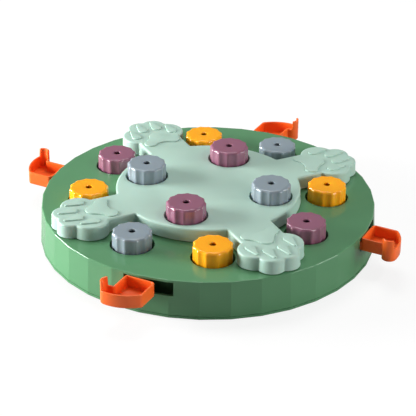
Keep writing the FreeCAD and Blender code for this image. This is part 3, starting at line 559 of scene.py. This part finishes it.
def half_arm():
    """Half an arm's outline, from the notch at the paw's tip to the middle of the disc's next arc.

    The arm lies along +X. Notch, toe, heel, neck and disc meet in hollow arcs of one small radius, so
    the outline is smooth and can be drawn in by any inset.
    """
    reach = TOE[2] + VALLEY
    notch = np.array((TOE[0] + np.sqrt(reach ** 2 - TOE[1] ** 2), 0))
    between = hollow_centre(TOE, HEEL, VALLEY)
    rise = NECK_HALF + VALLEY
    behind = np.array((HEEL[0] - np.sqrt((HEEL[2] + VALLEY) ** 2 - (rise - HEEL[1]) ** 2), rise))
    root = np.array((np.sqrt((DISC[2] + VALLEY) ** 2 - rise ** 2), rise))

    def lobe(disc, first, last):
        """Counter-clockwise arc of a disc between the hollow arcs that touch it."""
        start = bearing(disc, first)
        return arc(disc[:2], disc[2], start, onward(start, bearing(disc, last)))

    def hollow(middle, start, end):
        """Clockwise arc of the small radius from one angle to another."""
        return arc(middle, VALLEY, start, backward(start, end))

    down = -np.pi / 2
    return join([hollow(notch, np.pi, bearing(TOE, notch) + np.pi),
                 lobe(TOE, notch, between),
                 hollow(between, bearing(TOE, between) + np.pi, bearing(HEEL, between) + np.pi),
                 lobe(HEEL, between, behind),
                 hollow(behind, bearing(HEEL, behind) + np.pi, down),
                 segment((behind[0], NECK_HALF), (root[0], NECK_HALF)),
                 hollow(root, down, bearing(DISC, root) + np.pi),
                 arc(DISC[:2], DISC[2], bearing(DISC, root), np.pi / 4, step=1.5)], closed=False)


def paw_path():
    """Whole outline of the paw plate: the half arm, mirrored, and four times round."""
    flip = np.array((1, -1))
    arm = [np.concatenate((half[:0:-1] * flip, half[:-1])) for half in half_arm()]
    arms = [turned(arm, 90 * quarter + 45) for quarter in QUARTERS]
    return tuple(np.concatenate(parts) for parts in zip(*arms))


def pad_paths():
    """Outlines of a paw's five raised pads in the arm's frame: four tapering toes and the palm."""
    # A toe is two discs in a row joined by tangents, and these are the places of the larger ones
    root, tip, taper = 4.3, 1.4, 11.9
    toes = ((113.8, -17.6), (113.8, 17.6), (124.3, -6.8), (124.3, 6.8))
    paths = [round_discs([(out, across, root), (out + taper, across, tip)], [None, None])
             for out, across in toes]
    # The palm is three discs joined by two shallow hollow arcs and a deeper one at its back
    palm = [(96.4, -11.2, 5.8), (107.8, 0.0, 7.0), (96.4, 11.2, 5.8)]
    side, back = 20.0, 12.0
    paths.append(round_discs(palm, [side, side, back]))
    return paths


def sink_well(surface, centre, top, floor, under, wall, bottom):
    """Round well with a soft lip and a rounded corner at its floor, and its cup as seen from below.

    The cup's wall and bottom have thicknesses of their own, and its mouth lies at the level under.
    """
    rows = quarter_round(WELL_RADIUS + WELL_LIP, top - WELL_LIP, WELL_LIP, 90, 0, 5).tolist()
    rows += quarter_round(WELL_RADIUS - WELL_CORNER, floor + WELL_CORNER, WELL_CORNER, 180, 270, 5).tolist()
    surface.revolve(centre, rows + [(WELL_MID, floor), (POLE, floor)])
    cup = WELL_RADIUS + wall
    surface.revolve(centre, [(cup, under)] + [(radius, floor - bottom) for radius in (cup, WELL_MID, POLE)])


def paw_surface():
    """Paw plate as one closed surface: rounded edge, raised pads, wells, hollow underside, spindle."""
    surface = Surface()
    path = paw_path()
    edge, proud, soft = mm("plate_round"), mm("pad_proud"), mm("pad_edge")
    under = PAW_TOP - PAW_WALL
    # From the hollow's top down inside, round the foot with its small bead, up the drafted side
    chamfer, draft = 0.2, 0.25
    bead = ((0.0, 0.0), (-0.24, 0.1), (-0.3, 0.35), (-0.25, 0.65), (0.0, 0.9))
    rows = [(PAW_WALL, under), (PAW_WALL, PAW_EDGE + chamfer), (PAW_WALL - chamfer, PAW_EDGE)]
    rows += [(inset, PAW_EDGE + rise) for inset, rise in bead]
    rows += quarter_round(edge + draft, PAW_TOP - edge, edge, 0, 90, 9).tolist()
    surface.carry(path, rows)

    wells = [INNER_RING * np.array((np.cos(a), np.sin(a))) for a in np.radians(90 * np.arange(4))]
    for well in wells:
        sink_well(surface, well, PAW_TOP, INNER_FLOOR, under, wall=PAW_WALL, bottom=1.2)

    # Round each pad's foot runs a shallow groove, given as shares of its width and depth
    width, depth = 0.9, 0.22
    groove = ((1.0, 0.0), (0.75, 0.7), (0.5, 1.0), (0.2, 0.8), (0.0, 0.0))
    pads = [turned(pad, 90 * quarter + 45) for quarter in QUARTERS for pad in pad_paths()]
    for pad in pads:
        rows = [(-out * width, PAW_TOP - down * depth) for out, down in groove]
        rows += quarter_round(soft, PAW_TOP + proud - soft, soft, 5, 90, 6).tolist()
        surface.carry(pad, rows)
        surface.fill(PAW_TOP + proud, pad[0] - soft * pad[1])
    rims = [circle(well, WELL_RADIUS + WELL_LIP)[0] for well in wells]
    feet = [pad[0] + width * pad[1] for pad in pads]
    surface.fill(PAW_TOP, path[0] - (edge + draft) * path[1], rims + feet)

    # Underside between the cups and the collar, which ends in a shoulder at the plate's foot, and spindle
    collar, core = 12.08, 4.0
    cups = [circle(well, WELL_RADIUS + PAW_WALL)[0] for well in wells]
    surface.fill(under, path[0] - PAW_WALL * path[1], cups + [circle((0, 0), collar)[0]])
    surface.revolve((0, 0), [(collar, under), (collar, PAW_EDGE), (SPINDLE, PAW_EDGE),
                             (SPINDLE, SPINDLE_FOOT), (core, SPINDLE_FOOT), (POLE, SPINDLE_FOOT)])
    return surface


class PUZZLE_OT_paw_plate(bpy.types.Operator):
    """Make the turning plate with its paws, wells and raised pads."""

    bl_idname = "puzzle.paw_plate"
    bl_label = "Paw plate"

    def execute(self, context):
        # Polypropylene from a blasted mould looks soft and waxy, with a broad, dull sheen
        plastic = moulded_plastic("moulded_pp_mint", colours().plate, roughness=0.46, grain_depth=0.000005,
                                  translucence=0.12)
        finished("paw_plate_moulding", paw_surface(), "turntable", plastic,
                 ("paw_plate", "paws", "paw_wells"), PLATE_TURN)
        return {"FINISHED"}


def tray_path():
    """Outline of a tray, closed, about its pivot at the origin, with the front along +X.

    The end away from the pivot is an arc about it. The finger tab is a disc that touches this arc from
    inside, and a small hollow arc leads into it from the front.
    """
    back, front, depth, corner, heel = 3.3, -1.6, 25.5, 3.4, 1.9
    reach, tab, tab_side, bend = 36.2, 6.2, -3.2, 1.0
    pivot = (0, 0)
    middle = (np.sqrt((reach - tab) ** 2 - tab_side ** 2), tab_side)
    lift = front - bend
    joint = np.array((middle[0] - np.sqrt((tab + bend) ** 2 - (lift - middle[1]) ** 2), lift))
    far = np.array((np.sqrt((reach - corner) ** 2 - (depth - corner) ** 2), depth - corner))
    leave = bearing(middle, joint)
    return denser(join([
        arc((back + heel, front + heel), heel, -np.pi, -np.pi / 2),
        segment((back + heel, front), (joint[0], front)),
        arc(joint, bend, np.pi / 2, backward(np.pi / 2, leave + np.pi)),
        arc(middle, tab, leave, onward(leave, bearing(pivot, middle)), step=0.4),
        arc(pivot, reach, bearing(pivot, middle), bearing(pivot, far)),
        arc(far, corner, bearing(pivot, far), np.pi / 2),
        segment((far[0], depth), (back + corner, depth)),
        arc((back + corner, depth - corner), corner, np.pi / 2, np.pi),
        segment((back, depth - corner), (back, front + heel)),
    ]), step=1.5)


def tray_surface():
    """Tray drawn closed about its pivot: wall with a rounded rim that rises to the tab, floor, knuckle."""
    path = tray_path()
    wall, height, floor = mm("tray_wall"), 11.5, 1.5
    # The wall rises where its inner edge is clear of the base, whose face is 4.95 mm from the pivot
    # line, and only past the middle of the front. The step is 3 t^2 - 2 t^3 over 0.35 mm of clearance
    clearance, ramp, past = 5.5, 0.35, 20
    clear = wall * path[1][:, 1] - path[0][:, 1] - clearance
    step = np.clip(clear / ramp + 0.5, 0, 1) * (path[0][:, 0] > past)
    rim = height + mm("tray_rise") * step * step * (3 - 2 * step)
    surface = Surface()
    low, lip, foot = 0.4, 0.45, 0.6
    over = quarter_round(lip, -lip, lip, 0, 90, 5)
    back_down = over[::-1] * (-1, 1) + (wall, 0)
    rows = quarter_round(low, low, low, -90, 0, 4).tolist()
    rows += [(inset, rim + level) for inset, level in (*over, *back_down)]
    rows += quarter_round(wall + foot, floor + foot, foot, 0, -90, 4).tolist()
    surface.carry(path, rows)
    surface.fill(0.0, path[0] - low * path[1])
    surface.fill(floor, path[0] - (wall + foot) * path[1])
    # Knuckle round the pin, the ear between it and the back wall, and the stop lug
    outer, tall, soft = 3.2, 8.0, 0.35
    surface.revolve((0, 0), [(PIN_HOLE, soft), (PIN_HOLE + soft, 0.0), (outer - soft, 0.0), (outer, soft),
                             (outer, tall - soft), (outer - soft, tall), (PIN_HOLE + soft, tall),
                             (PIN_HOLE, tall - soft), (PIN_HOLE, soft)], count=48)
    block(surface, (2.2, -1.6, 0.0), (4.1, 2.2, tall))
    block(surface, (-4.4, -0.8, 0.0), (-2.2, 0.57, 2.4))
    return surface


def denser(path, step):
    """Path with its long straight chords divided, so that a varying height can follow it."""
    points, normals = path
    after = np.roll(points, -1, axis=0)
    spans = np.maximum(1, np.ceil(np.linalg.norm(after - points, axis=1) / step)).astype(int)
    owner = np.repeat(np.arange(len(points)), spans)
    share = (np.arange(len(owner)) - np.repeat(np.cumsum(spans) - spans, spans)) / spans[owner]
    share = share[:, None]
    return (points[owner] * (1 - share) + after[owner] * share,
            normals[owner] * (1 - share) + np.roll(normals, -1, axis=0)[owner] * share)


def block(surface, low, high, soft=0.3):
    """Small block between two corner points, its edges rounded.

    Spokes of the four corners' quarter circles give the path, and its profile closes in at both ends.
    """
    (x0, y0, z0), (x1, y1, z1) = low, high
    corners = [(x0 + soft, y0 + soft, -np.pi), (x1 - soft, y0 + soft, -np.pi / 2), (x1 - soft, y1 - soft, 0),
               (x0 + soft, y1 - soft, np.pi / 2)]
    angles = np.linspace(0, np.pi / 2, 4)
    spokes = np.concatenate([np.stack((np.cos(a + angles), np.sin(a + angles)), axis=1)
                             for x, y, a in corners])
    centres = np.repeat([(x, y) for x, y, a in corners], len(angles), axis=0)
    rows = quarter_round(soft, z0 + soft, soft, -90, 0, 4).tolist()
    rows += quarter_round(soft, z1 - soft, soft, 0, 90, 4).tolist()
    surface.carry((centres + soft * spokes, spokes), rows)
    surface.fill(z0, centres[::len(angles)])
    surface.fill(z1, centres[::len(angles)])


class PUZZLE_OT_trays(bpy.types.Operator):
    """Make the four swing-out trays."""

    bl_idname = "puzzle.trays"
    bl_label = "Swing-out trays"

    def execute(self, context):
        # Polypropylene this thin lets some light through, so the trays glow warm where they are lit
        plastic = moulded_plastic("moulded_pp_orange", colours().orange, roughness=0.3,
                                  grain_depth=0.000005, translucence=0.18, glow=(1.0, 0.35, 0.15))
        surface = tray_surface()
        for quarter in QUARTERS:
            node = f"tray_{quarter + 1}"
            pivot = (*(PIVOT_OUT, PIVOT_SIDE) @ spin(90 * quarter), TRAY_LEVEL)
            finished(f"{node}_moulding", surface, node, plastic, (node,),
                     90 * quarter + TRAY_TURN, pivot)
        return {"FINISHED"}


def wall_path(face, ease):
    """Faceted outline of the base, its flats at distance face from the axis, its corners eased.

    Columns stand at both ends of each flat, in the middle of each eased corner and at the ends of the
    slots. point + d * vector lies on the outline moved out by d: the vector is the flat's normal, the
    corner's bisector or, at a slot's end, square to the slot and 1 / cos(flat's angle) long.
    """
    half = np.pi / FACETS
    middles = np.arange(FACETS) * 2 * half
    normals = np.stack((np.cos(middles), np.sin(middles)), axis=1)
    along = np.stack((-np.sin(middles), np.cos(middles)), axis=1)
    bisectors = np.stack((np.cos(middles + half), np.sin(middles + half)), axis=1)
    reach = (face - ease) * np.tan(half)
    corners = ((face - ease) / np.cos(half) + ease) * bisectors
    sides = np.tile(SLOT_ENDS, len(QUARTERS))
    lean = np.sign(sides) * 2 * half
    turns = np.repeat(np.arange(len(QUARTERS)) * np.pi / 2, 2)
    out = (face - sides * np.sin(lean)) / np.cos(lean)
    c, s = np.cos(turns), np.sin(turns)
    ends = np.stack((out * c - sides * s, out * s + sides * c), axis=1)
    square = np.stack((c, s), axis=1) / np.cos(lean)[:, None]
    points = np.concatenate((face * normals - reach * along, face * normals + reach * along, corners, ends))
    vectors = np.concatenate((normals, normals, bisectors, square))
    order = np.argsort(np.arctan2(points[:, 1], points[:, 0]) % TURN)
    return points[order], vectors[order]


def slot_columns(points, quarter):
    """Numbers of the outline's columns from one end of a quarter's slot to the other."""
    out, side = (points @ spin(-90 * quarter)).T
    slack = 0.01
    held = np.flatnonzero((out > 0) & (side > SLOT_ENDS[0] - slack) & (side < SLOT_ENDS[1] + slack))
    return held[np.argsort(side[held])]


def pivot_parts():
    """First quarter's pivot block with its stop, the post above the knuckle and two screw bosses."""
    parts = Surface()
    pivot = np.array((PIVOT_OUT, PIVOT_SIDE))
    gap, half, inward, outward = 0.3, 4.0, 5.6, 2.0
    block(parts, (PIVOT_OUT - inward, PIVOT_SIDE - half, SEAM),
          (PIVOT_OUT + outward, PIVOT_SIDE + half, TRAY_LEVEL - gap))
    # The stop stands on the block, 60 degrees round from +Y, and reaches 2.7 mm past the tray's underside
    stop, bevel, away = 0.8, 0.3, 4.3
    stop_foot, tip = TRAY_LEVEL - 1, TRAY_LEVEL + 2.7
    parts.revolve(pivot + (0, away) @ spin(60), [(POLE, stop_foot), (stop, stop_foot), (stop, tip - bevel),
                                                 (stop - bevel, tip), (POLE, tip)], count=24)
    # Posts and bosses end inside the top plate. The post is bored for the pin, the bosses for screws
    sunk, post, post_foot, bore_end = UNDERSIDE + 1.2, 2.8, TRAY_LEVEL + 8.3, UNDERSIDE + 0.8
    parts.revolve(pivot, [(POLE, sunk), (post, sunk), (post, post_foot), (PIN_HOLE, post_foot),
                          (PIN_HOLE, bore_end), (POLE, bore_end)], count=32)
    boss, boss_foot, pilot, pilot_end = 3.9, 5.4, 1.5, 17.4
    inner_ring, outer_ring = 88.0, 130.0
    for place in ((inner_ring, 0), (outer_ring, 0) @ spin(45)):
        parts.revolve(place, [(POLE, sunk), (boss, sunk), (boss, boss_foot), (pilot, boss_foot),
                              (pilot, pilot_end), (POLE, pilot_end)], count=32)
    return parts


def base_surface():
    """Base as one moulding: flared, faceted wall with four slots, top with eight wells, and the hub."""
    surface = Surface()
    face, rim, bevel = BASE_RADIUS * np.cos(np.pi / FACETS), mm("rim_round"), 0.6
    outside, inside_wall = wall_path(face, ease=2.5), wall_path(face - BASE_WALL, ease=0.3)

    def row(path, level, inset=0.0):
        """The outline at a level, moved out by the wall's flare there."""
        out = FLARE * (BASE_TOP - level) / (BASE_TOP - SEAM) - inset
        return np.column_stack((path[0] + out * path[1], np.full(len(path[0]), level)))

    rows = [row(inside_wall, UNDERSIDE), row(inside_wall, SLOT_FLOOR), row(inside_wall, SEAM),
            row(outside, SEAM, bevel), row(outside, SEAM + bevel), row(outside, SLOT_FLOOR),
            row(outside, UNDERSIDE)]
    rows += [row(outside, level, inset)
             for inset, level in quarter_round(rim, BASE_TOP - rim, rim, 0, 90, 8)]
    # The slots are left out between rows 0 and 1, on the wall's inside, and rows 5 and 6, on its outside
    slots = [slot_columns(outside[0], quarter) for quarter in QUARTERS]
    gaps = np.zeros((len(rows) - 1, len(outside[0])), bool)
    gaps[np.ix_((0, 5), np.concatenate([columns[:-1] for columns in slots]))] = True
    surface.grid(np.stack(rows), gaps)
    for columns in slots:
        # Head, sill and ends of a slot, between the wall's inside and outside
        ring = np.stack((rows[0], rows[1], rows[5], rows[6]))[:, columns]
        index = np.arange(ring.shape[0] * ring.shape[1]).reshape(ring.shape[:2])
        sill = np.stack((index[1, :-1], index[1, 1:], index[2, 1:], index[2, :-1]), axis=1)
        head = np.stack((index[3, :-1], index[3, 1:], index[0, 1:], index[0, :-1]), axis=1)
        surface.add(ring, np.concatenate((sill, head, index[:, [0, -1]].T)))

    angles = np.radians([90 * quarter + side * OUTER_SPREAD for quarter in QUARTERS for side in (-1, 1)])
    wells = OUTER_RING * np.stack((np.cos(angles), np.sin(angles)), axis=1)
    cup = 1.8
    for well in wells:
        sink_well(surface, well, BASE_TOP, WELL_FLOOR, UNDERSIDE, wall=cup, bottom=cup)
    # Thrust ring on the top, the hub's bore through it and the hub below
    bore, hub, thrust, ring_top, hub_foot = 9.08, 12.08, 16.08, BASE_TOP + 0.5, BASE_TOP - 9
    surface.revolve((0, 0), [(thrust, BASE_TOP), (thrust, ring_top), (bore, ring_top), (bore, hub_foot),
                             (hub, hub_foot), (hub, UNDERSIDE)])
    for level, outline, hole, middle in ((BASE_TOP, rows[-1], WELL_RADIUS + WELL_LIP, thrust),
                                         (UNDERSIDE, rows[0], WELL_RADIUS + cup, hub)):
        surface.fill(level, outline[:, :2], [*(circle(well, hole)[0] for well in wells),
                                             circle((0, 0), middle)[0]])
    parts = pivot_parts()
    for quarter in QUARTERS:
        surface.copy_in(parts, 90 * quarter)
    return surface


class PUZZLE_OT_base(bpy.types.Operator):
    """Make the green base and dress its cover, feet, screws and pins."""

    bl_idname = "puzzle.base"
    bl_label = "Base"

    def execute(self, context):
        # Polypropylene from a smoother mould has a clear sheen, which breaks at the wall's facets
        green = moulded_plastic("moulded_pp_green", colours().base, roughness=0.17, grain_depth=0.000004,
                                translucence=0.04, glow=(0.4, 1.0, 0.5))
        # Soft rubber is matt, with a coarser grain
        rubber = moulded_plastic("moulded_rubber", colours().rubber, roughness=0.75, grain_depth=0.00003)
        steel = turned_steel("zinc_plated_steel", colours().steel)
        piece = finished("base_moulding", base_surface(), "base", green,
                         ("base_shell", "slot_frames", "top_plate", "pivot_bosses", "peg_wells"))
        # Broad flats keep their own normal, and the narrow eased edges between them carry the turn
        even = piece.modifiers.new("flat_faces_lead", "WEIGHTED_NORMAL")
        even.keep_sharp = True
        dressed("bottom_cover", green)
        dressed("rubber_feet", rubber)
        pins = [f"pivot_pin_{quarter + 1}" for quarter in QUARTERS]
        for node in ["cover_screws", "retaining_washer", "axle_screw", *pins]:
            dressed(node, steel)
        return {"FINISHED"}


# Soft lamps: place and size in metres, and power in watts
LAMPS = {
    "key": ((-1.25, -0.25, 0.25), (0.7, 0.5), 45),
    "side": ((1.2, 0.0, 0.25), (0.5, 0.4), 8),
    "front": ((0.1, -1.5, 0.3), (0.5, 0.4), 0.6),
    "top": ((-0.2, 0.5, 1.2), (0.7, 0.5), 8),
    "glint": ((0.78, -0.05, 1.0), (0.12, 0.12), 2),
}
LAMP_TARGET = Vector((0, 0, 0.02))
# Strength of the world's light, and the floor's grey for all rays but the camera's
WORLD_LIGHT = 0.16
FLOOR_BOUNCE = 0.42
# The floor that the camera sees: how far it glows white instead of showing its colour and the shadow
FLOOR_GLOW = 1.03
GLOW_SHARE = 0.8
# Camera fitted to the photograph: degrees round from -Y and up, metres from the middle of the base's top,
# degrees of roll, lens and sensor in millimetres, and shift as shares of the sensor's width
CAMERA_AZIMUTH = 17.44
CAMERA_ELEVATION = 27.83
CAMERA_DISTANCE = 1.4988
CAMERA_ROLL = 0.456
CAMERA_LENS = 148.47
CAMERA_SENSOR = 36.0
CAMERA_SHIFT = (-0.0003, -0.0238)


def area_light(name, place, size, power):
    """Soft rectangular lamp that looks at the target."""
    data = bpy.data.lights.new(name, "AREA")
    data.shape = "RECTANGLE"
    data.size, data.size_y = size
    data.energy = power
    lamp = bpy.data.objects.new(name, data)
    lamp.location = place
    lamp.rotation_mode = "QUATERNION"
    lamp.rotation_quaternion = (LAMP_TARGET - Vector(place)).to_track_quat("-Z", "Y")
    bpy.context.scene.collection.objects.link(lamp)


def to_camera(tree, seen, other):
    """Shader that shows one shader to camera rays and another to every other ray."""
    path = add_node(tree, "ShaderNodeLightPath")
    return add_node(tree, "ShaderNodeMixShader", {0: path.outputs["Is Camera Ray"], 1: other.outputs[0],
                                                 2: seen.outputs[0]})


def pale_floor(floor):
    """Near-white floor that keeps a faint shadow, and throws only dim light back up at the object."""
    material = bpy.data.materials.new("pale_floor")
    tree = empty_tree(material)
    diffuse = add_node(tree, "ShaderNodeBsdfDiffuse", inputs={"Color": (*colours().floor, 1)})
    white = add_node(tree, "ShaderNodeEmission", inputs={"Strength": FLOOR_GLOW})
    seen = add_node(tree, "ShaderNodeMixShader", {1: diffuse.outputs[0], 2: white.outputs[0]},
                    inputs={0: GLOW_SHARE})
    dim = add_node(tree, "ShaderNodeBsdfDiffuse", inputs={"Color": (*[FLOOR_BOUNCE] * 3, 1)})
    add_node(tree, "ShaderNodeOutputMaterial", {"Surface": to_camera(tree, seen, dim).outputs[0]})
    floor.data.materials.append(material)


def studio_world(world):
    """White to the camera, and a faint, even light on the object."""
    tree = empty_tree(world)
    plain, soft = (add_node(tree, "ShaderNodeBackground",
                            inputs={"Color": (1, 1, 1, 1), "Strength": strength})
                   for strength in (1.0, WORLD_LIGHT))
    add_node(tree, "ShaderNodeOutputWorld", {"Surface": to_camera(tree, plain, soft).outputs[0]})


def photo_camera():
    """Camera at the photograph's view of the toy.

    It stands at (sin a cos e, -cos a cos e, sin e) * distance from the middle of the base's top.
    """
    data = bpy.data.cameras.new("camera")
    camera = bpy.data.objects.new("camera", data)
    bpy.context.scene.collection.objects.link(camera)
    azimuth, elevation = np.radians(CAMERA_AZIMUTH), np.radians(CAMERA_ELEVATION)
    back = Vector((np.sin(azimuth) * np.cos(elevation), -np.cos(azimuth) * np.cos(elevation),
                   np.sin(elevation)))
    camera.location = Vector((0, 0, BASE_TOP * MM)) + CAMERA_DISTANCE * back
    camera.rotation_mode = "QUATERNION"
    roll = Quaternion((0, 0, 1), np.radians(CAMERA_ROLL))
    camera.rotation_quaternion = (-back).to_track_quat("-Z", "Y") @ roll
    data.lens = CAMERA_LENS
    data.sensor_width = CAMERA_SENSOR
    data.shift_x, data.shift_y = CAMERA_SHIFT
    data.clip_start, data.clip_end = 0.1, 20
    return camera


class PUZZLE_OT_stage(bpy.types.Operator):
    """Set the pale floor, the soft studio light and the camera."""

    bl_idname = "puzzle.stage"
    bl_label = "Floor, light and camera"

    def execute(self, context):
        scene = context.scene
        scene.view_settings.view_transform = "Standard"
        bpy.ops.mesh.primitive_plane_add(size=8)
        floor = context.active_object
        floor.name = "floor"
        pale_floor(floor)
        scene.world = bpy.data.worlds.new("studio")
        studio_world(scene.world)
        for name, settings in LAMPS.items():
            area_light(name, *settings)
        scene.camera = photo_camera()
        return {"FINISHED"}


class PUZZLE_PT_panel(bpy.types.Panel):
    """Sidebar panel that lists the pieces."""

    bl_idname = "PUZZLE_PT_panel"
    bl_label = "Treat Puzzle"
    bl_space_type = "VIEW_3D"
    bl_region_type = "UI"
    bl_category = "Treat Puzzle"

    def draw(self, context):
        for operator in OPERATORS:
            self.layout.operator(operator.bl_idname)
        for group in (context.scene.puzzle_sizes, context.scene.puzzle_colours):
            column = self.layout.column()
            for name in group.__annotations__:
                column.prop(group, name)


OPERATORS = (PUZZLE_OT_base, PUZZLE_OT_pegs, PUZZLE_OT_paw_plate, PUZZLE_OT_trays, PUZZLE_OT_stage)
CLASSES = (PuzzleSizes, PuzzleColours, *OPERATORS, PUZZLE_PT_panel)


def register():
    """Add the classes and the scene's two property groups."""
    for kind in CLASSES:
        bpy.utils.register_class(kind)
    bpy.types.Scene.puzzle_sizes = bpy.props.PointerProperty(type=PuzzleSizes)
    bpy.types.Scene.puzzle_colours = bpy.props.PointerProperty(type=PuzzleColours)


def unregister():
    """Take them out again, in the opposite order."""
    del bpy.types.Scene.puzzle_colours
    del bpy.types.Scene.puzzle_sizes
    for kind in reversed(CLASSES):
        bpy.utils.unregister_class(kind)


def main():
    """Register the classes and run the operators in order."""
    register()
    bpy.ops.puzzle.base()
    bpy.ops.puzzle.pegs()
    bpy.ops.puzzle.paw_plate()
    bpy.ops.puzzle.trays()
    bpy.ops.puzzle.stage()


if __name__ == "__main__":
    main()
